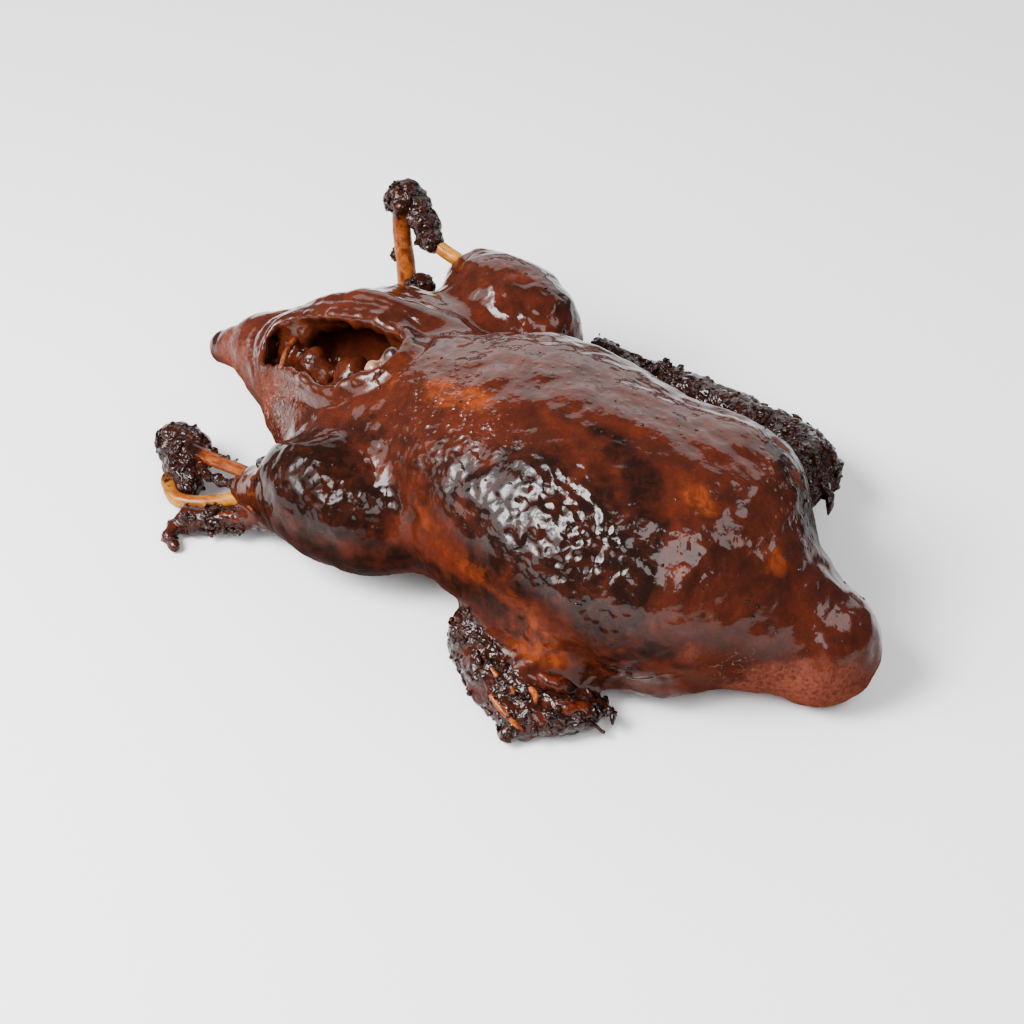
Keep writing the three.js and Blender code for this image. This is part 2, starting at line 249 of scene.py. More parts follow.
WING_LEFT = [
    [56, -40, 30, 22], [42, -60, 18, 14], [58, -70, 12, 12],
    [78, -74, 8, 8.2], [89, -65, 8, 7], [94, -55, 7, 4.5],
]
WING_TIP_LEFT = [[70, -74, 8, 8.5], [75, -83, 5, 5]]
WING_RIGHT = [
    [80, 64, 34, 20], [84, 105, 24, 11.5], [72, 116, 21, 11], [34, 119, 19, 10.7],
    [-8, 121, 18, 8.5], [-18, 122, 17, 6], [-34, 123, 17, 4.5], [-42, 123, 18, 6.5],
]
HOCK_LEFT = [[-145, -46, 13, 10], [-137, -46, 14, 8.5], [-133, -56, 11, 8], [-125, -60, 10.5, 6]]
HOCK_RIGHT = [[-126, 84, 84.5, 8.8], [-113, 82, 78.5, 6.2], [-110, 81, 72, 5.4], [-103, 76, 75, 4.8]]
FOOT_RIGHT = [[-117, 70, 43, 6], [-107, 71, 52, 6]]
TIBIA_LEFT = [
    [-84, -54, 19, 3.4], [-97, -57, 14, 3.3], [-111, -64, 9, 3.2], [-123, -69, 8, 3.4],
    [-133, -64, 10, 3.8],
]
TARSUS_LEFT = [[-78, -52, 29, 3.2], [-92, -51, 25, 2.9], [-112, -51, 22, 3], [-134, -49, 17, 3.8]]
TIBIA_RIGHT = [[-74, 78, 65, 3.4], [-86, 78, 69, 3.1], [-98, 76.5, 73, 3.2], [-106, 77.5, 74.8, 3.2]]
TARSUS_RIGHT = [[-114, 71, 44, 4.6], [-118, 74, 58, 4.4], [-121.5, 76, 72, 4.2], [-122, 77, 85, 4.2]]
PUBIC_BONE = [[-114.5, 0, 59, 1.6], [-111, -8, 60, 1.5], [-106, -16, 61.5, 1.4], [-101, -23, 62, 1.3]]


def torso():
    return join_all(
        mass(**BREAST), (mass(**BELLY), 40), (mass(**RUMP), 24), (limb(TAIL), 16), (limb(NECK), 22))


def meat_field():
    """The meat and skin: every mass and limb joined, the vent cut open, its lip and its lumps."""
    thigh_left = join(mass(**THIGH_LEFT), limb(CUFF_LEFT), 10)
    thigh_right = join(mass(**THIGH_RIGHT), limb(CUFF_RIGHT), 10)
    toes = join(limb(TOES_LEFT), limb(CLAW_LEFT), 4)
    wing_left = join_all(limb(WING_LEFT), (limb(WING_TIP_LEFT), 6), (mass(**WING_WEB), 10))
    whole = join_all(
        torso(), (mass(**FLANK_RIGHT), 24), (mass(**SHOULDER_RIGHT), 14), (mass(**BACK_RIGHT), 14),
        (mass(**SKIN_FLAP), 8), (thigh_left, 10), (thigh_right, 14), (toes, 6), (wing_left, 8),
        (limb(WING_RIGHT), 8))
    vent = limb(VENT)
    opened = cut(cut(whole, mass(**THIGH_HOLLOW), 4), vent, 5)
    lipped = join_all(opened, (rim(whole, vent, VENT_LIP), 4), (limb(SKIN_FOLD), 9))
    undercut = cut(lipped, limb(UNDERCUT), 3)
    return join_all(undercut, *[(mass(**lump), 5) for lump in VENT_LUMPS])


# ------------------------------------------------------------
# Mesh, noise and mask helpers
# ------------------------------------------------------------

SLOPE_STEP = 0.4      # each way, where a field's slope is measured
FLATTEST = 0.05       # least squared slope that a point is moved by
LARGEST_MOVE = 1.0    # of a point in one round
TABLE = np.random.default_rng(3).permutation(256)
ARROWS = np.random.default_rng(4).normal(size=(256, 3))
ARROWS /= np.linalg.norm(ARROWS, axis=1)[:, None]
SEED_SHIFT = np.array([17.31, -9.17, 5.73])
WAVE_GAIN = 1.7       # brings the noise to about -1 to 1
GRAIN_JITTER = 0.4    # of a cell, which a grain's middle is off the cell's
GRAIN_REACH = 1.4     # the larger, the wider the creases between grains


def gradient(field, points):
    slopes = []
    for axis in range(3):
        offset = UNITS[axis] * SLOPE_STEP
        slopes.append((field(points + offset) - field(points - offset)) / (2 * SLOPE_STEP))
    return np.stack(slopes, 1)


def settle(field, points):
    """Moves points on to the field's zero in two rounds, and gives them with their outward directions."""
    for _ in range(2):
        slope = gradient(field, points)
        size = np.maximum((slope * slope).sum(1), FLATTEST)
        step = np.clip(field(points) / size, -LARGEST_MOVE, LARGEST_MOVE)
        points = points - slope * step[:, None]
    slope = gradient(field, points)
    return points, slope / np.maximum(np.linalg.norm(slope, axis=1), TINY)[:, None]


def shuffle(cells):
    """A number from 0 to 255 for each grid cell, always the same for the same cell."""
    x, y, z = (cells & 255).T
    return TABLE[(TABLE[(TABLE[x] + y) & 255] + z) & 255]


def shifted(points, size, seed):
    return points / size + SEED_SHIFT * (seed + 1)


def wave(points, size, seed):
    """Smooth noise of about -1 to 1 with features of the given size in millimetres."""
    place = shifted(points, size, seed)
    cells = np.floor(place).astype(int)
    inside = place - cells
    blend = inside**3 * (inside * (inside * 6 - 15) + 10)
    total = np.zeros(len(points))
    for corner in CORNERS:
        slope = (ARROWS[shuffle(cells + corner)] * (inside - corner)).sum(1)
        total += slope * np.prod(np.where(corner, blend, 1 - blend), axis=1)
    return total * WAVE_GAIN


def crumble(points, size, seed):
    """Lumpy noise of 0 to 1: rounded grains with creases between them."""
    place = shifted(points, size, seed)
    cells = np.floor(place).astype(int)
    nearest = np.full(len(points), np.inf)
    for step in np.ndindex(3, 3, 3):
        other = cells + np.array(step) - 1
        middle = other + 0.5 + GRAIN_JITTER * ARROWS[shuffle(other)]
        nearest = np.minimum(nearest, ((place - middle) ** 2).sum(1))
    return np.clip(1 - nearest * GRAIN_REACH, 0, 1)


def smooth(t):
    t = np.clip(t, 0, 1)
    return t * t * (3 - 2 * t)


def blob(points, centre, half):
    """1 at a centre, falling smoothly to 0 at the ellipsoid of the given half lengths."""
    reach = np.linalg.norm((points - np.array(centre, float)) / np.array(half, float), axis=1)
    return smooth(1 - reach)


def near_limb(points, stations, fade):
    """1 within a chain of stations, falling to 0 over the given distance outside it."""
    return smooth(1 - limb(stations)(points) / fade)


def new_mesh(name, points, faces, attributes=None):
    """A smooth shaded object from points in millimetres and an (n, 3) or (n, 4) array of faces."""
    faces = np.asarray(faces, np.int32)
    mesh = bpy.data.meshes.new(name)
    mesh.vertices.add(len(points))
    mesh.vertices.foreach_set("co", (np.asarray(points, np.float32) * MM).ravel())
    mesh.loops.add(faces.size)
    mesh.loops.foreach_set("vertex_index", faces.ravel())
    mesh.polygons.add(len(faces))
    mesh.polygons.foreach_set("loop_start", np.arange(0, faces.size, faces.shape[1], dtype=np.int32))
    mesh.update(calc_edges=True)
    mesh.validate()
    mesh.polygons.foreach_set("use_smooth", np.ones(len(mesh.polygons), bool))
    for key, values in (attributes or {}).items():
        layer = mesh.attributes.new(key, "FLOAT", "POINT")
        layer.data.foreach_set("value", np.asarray(values, np.float32))
    piece = bpy.data.objects.new(name, mesh)
    bpy.context.scene.collection.objects.link(piece)
    return piece


def dress(piece, look, slot, node=None):
    """Gives a piece of the bird its look and body, and hides the CAD node that it replaces; the slot is not
    used.
    """
    piece.data.materials.append(look)
    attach(piece, "root")
    if node:
        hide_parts(node)


# ------------------------------------------------------------
# Materials
# ------------------------------------------------------------

# Sockets of the colour mix node.
MIX_FACTOR, MIX_A, MIX_B, MIX_RESULT = 0, 6, 7, 2


class Look:
    """A node material with one Principled shader, and short ways to add the nodes that feed it."""

    def __init__(self, name):
        self.material = bpy.data.materials.new(name)
        self.material.use_nodes = True
        self.tree = self.material.node_tree
        self.shader = self.tree.nodes["Principled BSDF"]
        self.place = self.tree.nodes.new("ShaderNodeTexCoord").outputs["Object"]

    def set(self, **values):
        for key, value in values.items():
            self.shader.inputs[key.replace("_", " ")].default_value = value

    def feed(self, socket, source):
        self.tree.links.new(source, self.shader.inputs[socket])

    def node(self, kind, inputs=None, **settings):
        node = self.tree.nodes.new(kind)
        for key, value in settings.items():
            setattr(node, key, value)
        for key, value in (inputs or {}).items():
            if isinstance(value, bpy.types.NodeSocket):
                self.tree.links.new(value, node.inputs[key])
            else:
                node.inputs[key].default_value = value
        return node

    def noise(self, size_mm, detail, roughness=0.5, distortion=0.0, along=1.0):
        """Noise of the given size across the bird, and longer by the factor along it."""
        scaled = {0: self.place, 1: (1 / along, 1, 1)}
        place = self.node("ShaderNodeVectorMath", scaled, operation="MULTIPLY")
        values = {"Vector": place.outputs[0], "Scale": 1000.0 / size_mm, "Detail": detail,
                  "Roughness": roughness, "Distortion": distortion}
        return self.node("ShaderNodeTexNoise", values).outputs["Fac"]

    def cells(self, size_mm):
        """The distance from the nearest of scattered points that are about the given size apart."""
        values = {"Vector": self.place, "Scale": 1000.0 / size_mm}
        return self.node("ShaderNodeTexVoronoi", values).outputs["Distance"]

    def mask(self, name):
        return self.node("ShaderNodeAttribute", attribute_name=name).outputs["Fac"]

    def math(self, operation, a, b):
        return self.node("ShaderNodeMath", {0: a, 1: b}, operation=operation).outputs[0]

    def times(self, a, b):
        return self.math("MULTIPLY", a, b)

    def spread(self, source, low, high, to_low=0.0, to_high=1.0):
        """The source brought smoothly from the range low to high to the range to_low to to_high."""
        values = {0: source, 1: low, 2: high, 3: to_low, 4: to_high}
        return self.node("ShaderNodeMapRange", values, interpolation_type="SMOOTHSTEP").outputs[0]

    def between(self, mask_name, to_low, to_high):
        return self.spread(self.mask(mask_name), 0.0, 1.0, to_low, to_high)

    def mix(self, factor, a, b):
        """Colour a where the factor is 0, and b where it is 1."""
        node = self.node("ShaderNodeMix", data_type="RGBA", clamp_factor=True)
        for index, value in ((MIX_FACTOR, factor), (MIX_A, a), (MIX_B, b)):
            if isinstance(value, bpy.types.NodeSocket):
                self.tree.links.new(value, node.inputs[index])
            else:
                node.inputs[index].default_value = (*value, 1.0)
        return node.outputs[MIX_RESULT]

    def bump(self, height, distance_mm, strength, normal=None):
        values = {"Height": height, "Distance": distance_mm * MM, "Strength": strength}
        if normal is not None:
            values["Normal"] = normal
        return self.node("ShaderNodeBump", values).outputs["Normal"]


BLACK_BROWN = (0.0075, 0.0026, 0.0017)
MAHOGANY = (0.021, 0.0050, 0.0028)
RED_BROWN = (0.060, 0.0098, 0.0036)
ORANGE = (0.150, 0.0265, 0.0058)
PINK_BROWN = (0.112, 0.0300, 0.0185)
PALE_CREASE = (0.340, 0.1200, 0.0750)
PALE_GRISTLE = (0.28, 0.145, 0.088)
RED_GRISTLE = (0.11, 0.038, 0.024)
FLOOR_GREY = (0.9, 0.9, 0.9, 1)
WORLD_WHITE = (0.95, 0.96, 1.0, 1)


def shade(colour, share):
    return tuple(part * share for part in colour)


def charred(look, patch_mm):
    """Near black crust, partly mahogany, with faint red patches of the given size."""
    brown = look.spread(look.noise(4, detail=3, roughness=0.7), 0.42, 0.62)
    red = look.spread(look.noise(patch_mm, detail=3, roughness=0.6), 0.54, 0.72, 0.0, 0.5)
    return look.mix(red, look.mix(brown, BLACK_BROWN, MAHOGANY), RED_BROWN)


def crust_bump(look):
    return look.noise(3.2, detail=1, distortion=0.6), 1.7


def skin_colour(look, follicles):
    """Mahogany to red brown skin with dull, creased, thin, burnt and pimpled parts, dark glaze and painted
    shade.
    """
    large = look.spread(look.noise(26, detail=4, roughness=0.65), 0.40, 0.60)
    small = look.spread(look.noise(6, detail=4, roughness=0.65, distortion=0.5), 0.38, 0.64)
    mottle = look.spread(look.noise(1.6, detail=3, roughness=0.7), 0.42, 0.62)
    grain = look.noise(1.8, detail=2, roughness=0.6)
    wrinkled = look.noise(2.6, detail=4, roughness=0.7, distortion=1.2)

    tone = look.math("ADD", look.times(large, 0.35), look.times(small, 0.3))
    tone = look.math("ADD", tone, look.times(look.mask("crest"), 0.45))
    tone = look.times(tone, look.spread(mottle, 0.0, 1.0, 0.72, 1.1))
    base = look.mix(tone, MAHOGANY, RED_BROWN)
    dull = look.times(look.mask("dull"), look.spread(grain, 0.3, 0.62, 0.35, 1.0))
    base = look.mix(dull, base, PINK_BROWN)
    creases = look.times(look.mask("creased"), look.spread(wrinkled, 0.55, 0.68, 0.0, 0.8))
    base = look.mix(creases, base, PALE_CREASE)
    thin = look.times(look.mask("thin"), look.spread(small, 0.0, 1.0, 0.35, 1.0))
    base = look.mix(thin, base, ORANGE)
    # Black brown where glaze pools thick in hollows and where the glaze is dark, and as painted shade under
    # the near flank and thighs, under the far elbow and inside the vent.
    pooled = look.spread(look.mask("crest"), 0.75, 0.15, 0.0, 0.75)
    dark_and_shade = look.math("MAXIMUM", look.mask("dark_and_shade"), look.times(pooled, look.mask("bubbly")))
    dark_and_shade = look.times(dark_and_shade, look.spread(small, 1.0, 0.0, 0.7, 1.0))
    base = look.mix(dark_and_shade, base, BLACK_BROWN)
    base = look.mix(look.mask("burnt"), base, charred(look, 3.0))
    specks = look.times(look.mask("pimples"), look.spread(follicles, 0.0, 0.16, 0.8, 0.0))
    return look.mix(specks, base, BLACK_BROWN)


def skin_normal(look, follicles):
    """Bumps laid one on the other: what stands out, how far in millimetres, and how strongly."""
    layers = [
        (look.spread(follicles, 0.0, 0.5, 1.0, 0.0), 0.6, look.mask("pimples")),
        (look.noise(2.2, detail=2, roughness=0.6, along=2.0), 0.4, look.mask("pimples")),
        (look.spread(look.cells(1.9), 0.0, 0.5, 1.0, 0.0), 0.28, look.between("dull", 0.12, 0.9)),
        (*crust_bump(look), look.between("burnt", 0.02, 1.0)),
        (look.noise(2.6, detail=3, roughness=0.6, distortion=1.2), 0.8, look.mask("creased")),
        (look.noise(4.2, detail=0, distortion=0.2), 1.0, look.between("bubbly", 0.3, 0.9)),
        (look.spread(look.cells(4.4), 0.1, 0.65), 0.5, look.times(look.mask("bubbly"), 0.8)),
        (look.noise(0.9, detail=1), 0.04, look.between("bubbly", 0.25, 0.8)),
    ]
    normal = None
    for height, distance_mm, strength in layers:
        normal = look.bump(height, distance_mm, strength, normal)
    return normal


def skin_look():
    look = Look("glazed_skin")
    follicles = look.cells(3.4)
    normal = skin_normal(look, follicles)
    look.feed("Base Color", skin_colour(look, follicles))
    look.feed("Roughness", look.between("dull", 0.30, 0.5))
    look.feed("Normal", normal)
    look.feed("Coat Normal", normal)
    look.feed("Coat Weight", look.mask("gloss"))
    look.set(Coat_Roughness=0.11, Coat_IOR=1.33, Specular_IOR_Level=0.0)
    return look.material


def bone_look(name, stain, pale, size_mm, along=1.0):
    """Bone stained by sauce in streaks of the given size, and black where the crust creeps on to it."""
    look = Look(name)
    streaks = look.noise(size_mm, detail=3, roughness=0.6, distortion=0.6, along=along)
    grain = look.noise(1.5, detail=3, roughness=0.6, along=along)
    uneven = look.noise(2.0, detail=3, roughness=0.6, along=along)
    colour = look.mix(look.spread(streaks, 0.35, 0.68), pale, stain)
    colour = look.mix(look.spread(grain, 0.3, 0.75, 0.0, 0.5), colour, shade(stain, 0.4))
    colour = look.mix(look.spread(look.mask("char"), 0.05, 0.6, 0.0, 0.9), colour, shade(stain, 0.35))
    char = look.math("ADD", look.mask("char"), look.noise(3, detail=2, roughness=0.6))
    look.feed("Base Color", look.mix(look.spread(char, 0.75, 1.05), colour, BLACK_BROWN))
    look.feed("Normal", look.bump(uneven, 0.45, 0.6))
    look.set(Roughness=0.3, Coat_Weight=0.6, Coat_Roughness=0.08, Coat_IOR=1.33, Specular_IOR_Level=0.0)
    return look.material


def crust_look():
    look = Look("burnt_crust")
    look.feed("Base Color", charred(look, 2.4))
    uneven = look.noise(2.5, detail=2, roughness=0.6)
    look.feed("Roughness", look.spread(uneven, 0.35, 0.65, 0.25, 0.5))
    normal = look.bump(*crust_bump(look), 1.0)
    look.feed("Normal", normal)
    look.feed("Coat Normal", normal)
    look.set(Coat_Weight=0.6, Coat_Roughness=0.06, Coat_IOR=1.4, Specular_IOR_Level=0.0)
    return look.material


def gristle_look():
    look = Look("gristle")
    blush = look.spread(look.noise(5, detail=2), 0.4, 0.65)
    colour = look.mix(blush, PALE_GRISTLE, RED_GRISTLE)
    look.feed("Base Color", look.mix(look.mask("char"), colour, MAHOGANY))
    look.feed("Normal", look.bump(look.noise(3, detail=2, roughness=0.6), 0.5, 0.4))
    look.set(Roughness=0.3, Coat_Weight=0.7, Coat_Roughness=0.07, Coat_IOR=1.38, Specular_IOR_Level=0.2)
    return look.material


# ------------------------------------------------------------
# The duck's meat and skin
# ------------------------------------------------------------

FINE_CELL = 1.5
DUCK_BOX = [-178, -98, -8], [178, 140, 106]

# Where each look shows: blobs by centre, half lengths and weight, and strips by stations as above.
THIN = [
    ([-4, -19, 90], [44, 14, 14], 1.0),
    ([-40, -20, 82], [24, 12, 12], 0.5),
    ([40, 16, 96], [50, 18, 12], 0.35),
    ([104, -8, 87], [18, 13, 16], 0.9),
    ([112, -28, 74], [16, 16, 20], 0.6),
    ([133, 2, 68], [16, 12, 14], 0.8),
    ([148, 2, 52], [16, 14, 12], 0.5),
    ([74, -62, 40], [14, 12, 12], 0.6),
    ([74, -63, 31], [28, 18, 15], 1.0),
    ([-30, -66, 60], [9, 9, 9], 0.6),
    ([-72, -38, 50], [18, 10, 16], 0.35),
    ([-60, 78, 76], [18, 14, 16], 0.5),
]
THIN_STRIP = [
    [-6, -49, 68, 2], [8, -53, 62, 3], [27, -61, 54, 3.5], [50, -62, 52, 3.5], [68, -62, 46, 4],
    [76, -60, 38, 5],
]
# Darker glaze on the breast, thighs, shoulders and tail tip, and painted shade under the near flank and
# thighs, in the vent's undercut and under the far wing's elbow.
DARK_AND_SHADE = [
    ([60, -46, 74], [80, 46, 54], 1.5),
    ([10, -48, 70], [44, 22, 18], 0.6),
    ([4, -58, 32], [74, 22, 24], 0.8),
    ([-38, -40, 72], [24, 18, 18], 0.9),
    ([-62, -34, 70], [22, 12, 16], 0.3),
    ([-10, -54, 58], [18, 14, 22], 1.1),
    ([92, -54, 54], [26, 20, 24], 1.1),
    ([114, -44, 44], [22, 18, 20], 0.9),
    ([-56, -70, 26], [46, 24, 24], 0.9),
    ([-24, -62, 40], [26, 18, 28], 0.9),
    ([-46, -58, 46], [68, 40, 42], 1.5),
    ([-46, -68, 26], [58, 34, 32], 1.3),
    ([-90, 6, 50], [46, 24, 22], 0.7),
    ([20, -64, 20], [40, 16, 20], 1.2),
    ([-20, -66, 24], [34, 20, 24], 1.2),
    ([158, 8, 50], [14, 12, 12], 0.6),
    ([-164, 2, 34], [26, 18, 20], 1.0),
    ([-40, 62, 56], [30, 14, 30], 0.5),
    ([-36, 86, 66], [34, 28, 34], 0.9),
    ([124, 42, 66], [34, 34, 34], 0.9),
    ([84, 88, 30], [30, 34, 24], 1.4),
]
# Dark bands over both shoulders, and a painted shadow along the near flank above the wing.
DARK_AND_SHADE_STRIPS = [
    [[57, -9, 97, 1], [81, -14, 93, 3], [95, -27, 85, 4], [98, -42, 70, 6], [100, -50, 58, 6]],
    [[88, 52, 82, 2], [105, 45, 83, 5], [118, 36, 76, 6], [129, 32, 64, 5]],
    [[10, -58, 34, 2], [29, -62, 38, 2.5], [44, -64, 42, 2], [55, -65, 43, 1]],
]
BUBBLY = [
    ([72, -45, 74], [62, 36, 46], 1.0),
    ([-36, -58, 50], [50, 34, 36], 1.0),
    ([10, -44, 76], [54, 24, 24], 0.8),
    ([-52, 74, 66], [44, 30, 30], 0.9),
    ([118, 38, 74], [26, 20, 24], 0.8),
    ([112, -14, 74], [40, 40, 34], 0.45),
    ([66, -64, 36], [34, 18, 24], 0.9),
    ([104, -50, 38], [44, 26, 34], 1.0),
]
PIMPLES = [
    ([-6, -22, 88], [66, 30, 24], 1.0),
    ([40, 10, 94], [90, 30, 20], 0.35),
    ([-100, -10, 50], [60, 40, 40], 0.5),
    ([150, -10, 14], [40, 40, 24], 0.6),
    ([116, 36, 72], [44, 30, 34], 1.0),
]
DULL = [
    ([-140, 5, 32], [44, 40, 36], 1.3),
    ([-100, -16, 44], [46, 26, 36], 1.2),
    ([-84, 40, 66], [40, 24, 24], 0.5),
    ([-58, 74, 76], [38, 28, 24], 0.7),
    ([152, 0, 14], [48, 50, 34], 1.7),
    ([119, -31, 40], [26, 20, 16], 0.8),
    ([105, 45, 83], [8, 7, 8], 1.8),
    ([118, 37, 76], [7, 6, 9], 1.8),
]
CREASED = [
    ([-98, -26, 46], [40, 24, 30], 1.6),
    ([-140, -6, 38], [26, 16, 20], 0.7),
    ([119, 38, 76], [20, 16, 18], 0.6),
    ([134, -22, 30], [20, 16, 16], 0.6),
]
SHEEN_LOSS = [
    ([30, -66, 40], [90, 26, 32], 1.6),
    ([152, 0, 14], [48, 50, 34], 1.2),
    ([-108, -24, 36], [50, 24, 30], 1.2),
    ([84, 84, 30], [34, 40, 30], 1.4),
    ([-44, -62, 52], [46, 30, 34], 1.0),
    ([50, 56, 74], [112, 28, 32], 1.2),
    ([126, 42, 62], [40, 34, 40], 1.1),
]

# Places with a gloss or a relief of their own, as centre and half lengths.
WEB_GLAZE = [70, -64, 34], [40, 20, 26]
WET_FLAP = [98, -44, 18], [54, 40, 34]
ROUGH_FLAP = [102, -50, 34], [52, 30, 38]
LEG_LEFT = [-46, -56, 40], [60, 40, 44]
LEG_RIGHT = [-58, 76, 60], [56, 40, 40]
TORN_WING = [76, -72, 16], [50, 40, 40]

# An edged mask starts where its weight and the noise's share pass this value.
EDGE_START, EDGE_NOISE, EDGE_GAIN = 0.35, 0.3, 1.5
# How far outside a chain of stations its crust, its colour or its loss of gloss still reaches.
FADE = dict(far_wing=8, toes=3, near_wing=4, thin=9, dark_and_shade=11, gloss=15)
FAR_ELBOW_Y = 74
# The share of the gloss that each cause takes away.
LOSS = dict(dull=0.8, low=0.93, place=0.85, strip=0.9)
# Noise is drawn out along an axis where its points are scaled by less than 1.
ALONG_FLAP, ALONG_WRINKLES, ACROSS_VENT = [0.6, 1.0, 1.0], [0.45, 1.0, 1.0], [1.0, 0.25, 0.35]


def patches(points, rows):
    """The largest of the rows' blobs at each point, each times its weight."""
    weight = np.zeros(len(points))
    for centre, half, strength in rows:
        weight = np.maximum(weight, blob(points, centre, half) * strength)
    return np.clip(weight, 0, 1)


def edged(weight, ragged, width):
    """A soft mask given a torn edge by noise of about -1 to 1."""
    return smooth((weight + EDGE_NOISE * ragged - EDGE_START) / width) * np.minimum(weight * EDGE_GAIN, 1)


def far_side(points):
    """0 on the bird's left, rising to 1 well over on its right."""
    return smooth(points[:, 1] / 40)


def burnt_mask(points, ragged):
    """The far wing from its elbow outwards, the near toes, and the near wing with its tip."""
    return np.maximum.reduce([
        near_limb(points, WING_RIGHT, FADE["far_wing"])
        * smooth((points[:, 1] - FAR_ELBOW_Y + 4 * ragged) / 8),
        near_limb(points, TOES_LEFT[1:] + CLAW_LEFT, FADE["toes"]) * smooth(0.5 + ragged),
        near_limb(points, WING_LEFT[1:], FADE["near_wing"]) * smooth(0.9 + 0.8 * ragged),
        near_limb(points, WING_TIP_LEFT, FADE["near_wing"])])


def gloss_mask(points, normals, dull, ragged):
    """How far the skin is glazed: little where it is dull or thin, or faces the pale floor."""
    low = smooth((0.42 - normals[:, 2]) / 0.6)
    gloss = (1 - LOSS["dull"] * dull) * (1 - LOSS["low"] * low)
    gloss = gloss * (1 - LOSS["place"] * patches(points, SHEEN_LOSS))
    gloss = gloss * (1 - LOSS["strip"] * near_limb(points, THIN_STRIP, FADE["gloss"]))
    gloss = np.maximum(gloss, 0.3 * blob(points, *WEB_GLAZE))
    return np.maximum(gloss, 0.75 * edged(blob(points, *WET_FLAP), ragged, 0.5))


def skin_masks(points, gloss, burnt, dull, cavity, ragged):
    """What the skin's material reads at each point, all from 0 to 1."""
    thin = np.maximum(patches(points, THIN), near_limb(points, THIN_STRIP, FADE["thin"]) * 0.5)
    dark_and_shade = patches(points, DARK_AND_SHADE)
    for strip in DARK_AND_SHADE_STRIPS:
        dark_and_shade = np.maximum(dark_and_shade, near_limb(points, strip, FADE["dark_and_shade"]) * 0.85)
    return {
        "thin": np.maximum(edged(thin, ragged, 0.4) * (1 - cavity), 0.25 * cavity),
        # Inside the vent the skin is shown darker, as painted shade.
        "dark_and_shade": np.maximum(edged(dark_and_shade, ragged, 0.5) * (1 - 0.7 * dull), 0.35 * cavity),
        "dull": dull * (1 - cavity),
        "burnt": burnt,
        "bubbly": patches(points, BUBBLY),
        "pimples": patches(points, PIMPLES),
        "creased": patches(points, CREASED),
        "gloss": np.maximum(gloss, burnt * (1 - 0.75 * far_side(points))),
        "crest": smooth(0.5 + 0.5 * (0.5 * wave(points, 8, 1) + 1.1 * wave(points, 5.2, 2))),
    }


def skin_relief(points, burnt, dull, bubbly):
    """How far the skin stands out of the plain field: each noise's size, seed and height in millimetres."""
    bubbly = bubbly * (1 - burnt)
    legs = np.maximum(blob(points, *LEG_LEFT), blob(points, *LEG_RIGHT))
    swell = wave(points, 15, 5) * 0.9 + wave(points, 8, 1) * 0.5 + wave(points, 20, 31) * 3.0 * legs
    dimples = wave(points, 5.0, 2) * (0.2 + 0.25 * bubbly) + crumble(points, 5.4, 9) * 0.5 * bubbly
    dimples = dimples + crumble(points, 7.0, 33) * (0.8 + 0.6 * far_side(points)) * legs
    dimples = dimples + wave(points * ALONG_FLAP, 7.0, 51) * 1.1 * blob(points, *ROUGH_FLAP)
    wrinkles = wave(points * ALONG_WRINKLES, 2.8, 6) * 0.3 * dull
    crust = crumble(points, 6.0, 3) * 1.8 + crumble(points, 3.4, 4) * 1.0 + wave(points, 12, 8) * 1.4 - 1.2
    torn = (0.5 - np.abs(wave(points, 9, 41)) * 2) * 2.4
    crust = crust + torn * blob(points, *TORN_WING)
    return (swell + dimples + wrinkles) * (1 - burnt) + crust * burnt


def make_duck():
    """The skin's points, outward directions, quads and masks."""
    field, vent = meat_field(), limb(VENT)
    points, quads = field_net(field, *DUCK_BOX, FINE_CELL)
    points, normals = settle(field, points)
    from_vent = vent(points)
    # How far inside the vent a point is: there the skin is ribbed, more orange, and darker as painted shade.
    cavity = smooth((3.5 - from_vent) / 3)
    ragged = wave(points, 14, 21) + 0.7 * wave(points, 6, 22) + 0.4 * wave(points, 2.8, 23)
    burnt = burnt_mask(points, ragged)
    dull = edged(patches(points, DULL), ragged, 0.6) * (1 - burnt)
    gloss = gloss_mask(points, normals, dull, ragged)
    masks = skin_masks(points, gloss, burnt, dull, cavity, ragged)

    height = skin_relief(points, burnt, dull, masks["bubbly"])
    ribs = wave(points * ACROSS_VENT, 5.0, 12) * 1.6 * cavity
    groove = np.exp(-((from_vent - 7.5) / 1.5) ** 2) * smooth((normals[:, 2] + 0.2) / 0.4)
    points = points + normals * (height + ribs - groove)[:, None]
    points[:, 2] = np.maximum(points[:, 2], 0)
    return points, normals, quads, masks


duck_points, duck_normals, duck_quads, duck_masks = make_duck()
duck = new_mesh("duck_skin", duck_points, duck_quads, duck_masks)
duck.data.materials.append(skin_look())
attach(duck, "root")
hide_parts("duck")

# ------------------------------------------------------------
# Bones, burnt joints and gristle
# ------------------------------------------------------------

DOME = (0.95, 0.75, 0.4)   # how far out the rings of a tube's domed end are, of its radius
ODD_WAY = [0.3, 0.2, 1.0]  # a direction that no bone starts in
CURVE_STEPS = 10           # from one of a tube's stations to the next
BONE_ROUGH = 0.25          # millimetres that a bone's surface is uneven by
LUMP_CELL = 1.0
LUMP_MARGIN = 4
GRISTLE_CELL = 0.9
GRISTLE_BOX = [-68, -28, 66], [-40, 2, 98]


def curve_through(stations, steps):
    """Rows along a Catmull-Rom curve through stations of x, y, z and anything else."""
    rows = np.array(stations, float)
    rows = np.vstack([2 * rows[0] - rows[1], rows, 2 * rows[-1] - rows[-2]])
    out = []
    for a, b, c, d in zip(rows, rows[1:], rows[2:], rows[3:]):
        for t in np.linspace(0, 1, steps, endpoint=False):
            out.append(0.5 * (2 * b + (c - a) * t + (2 * a - 5 * b + 4 * c - d) * t**2
                              + (3 * b - a - 3 * c + d) * t**3))
    out.append(rows[-2])
    return np.array(out)


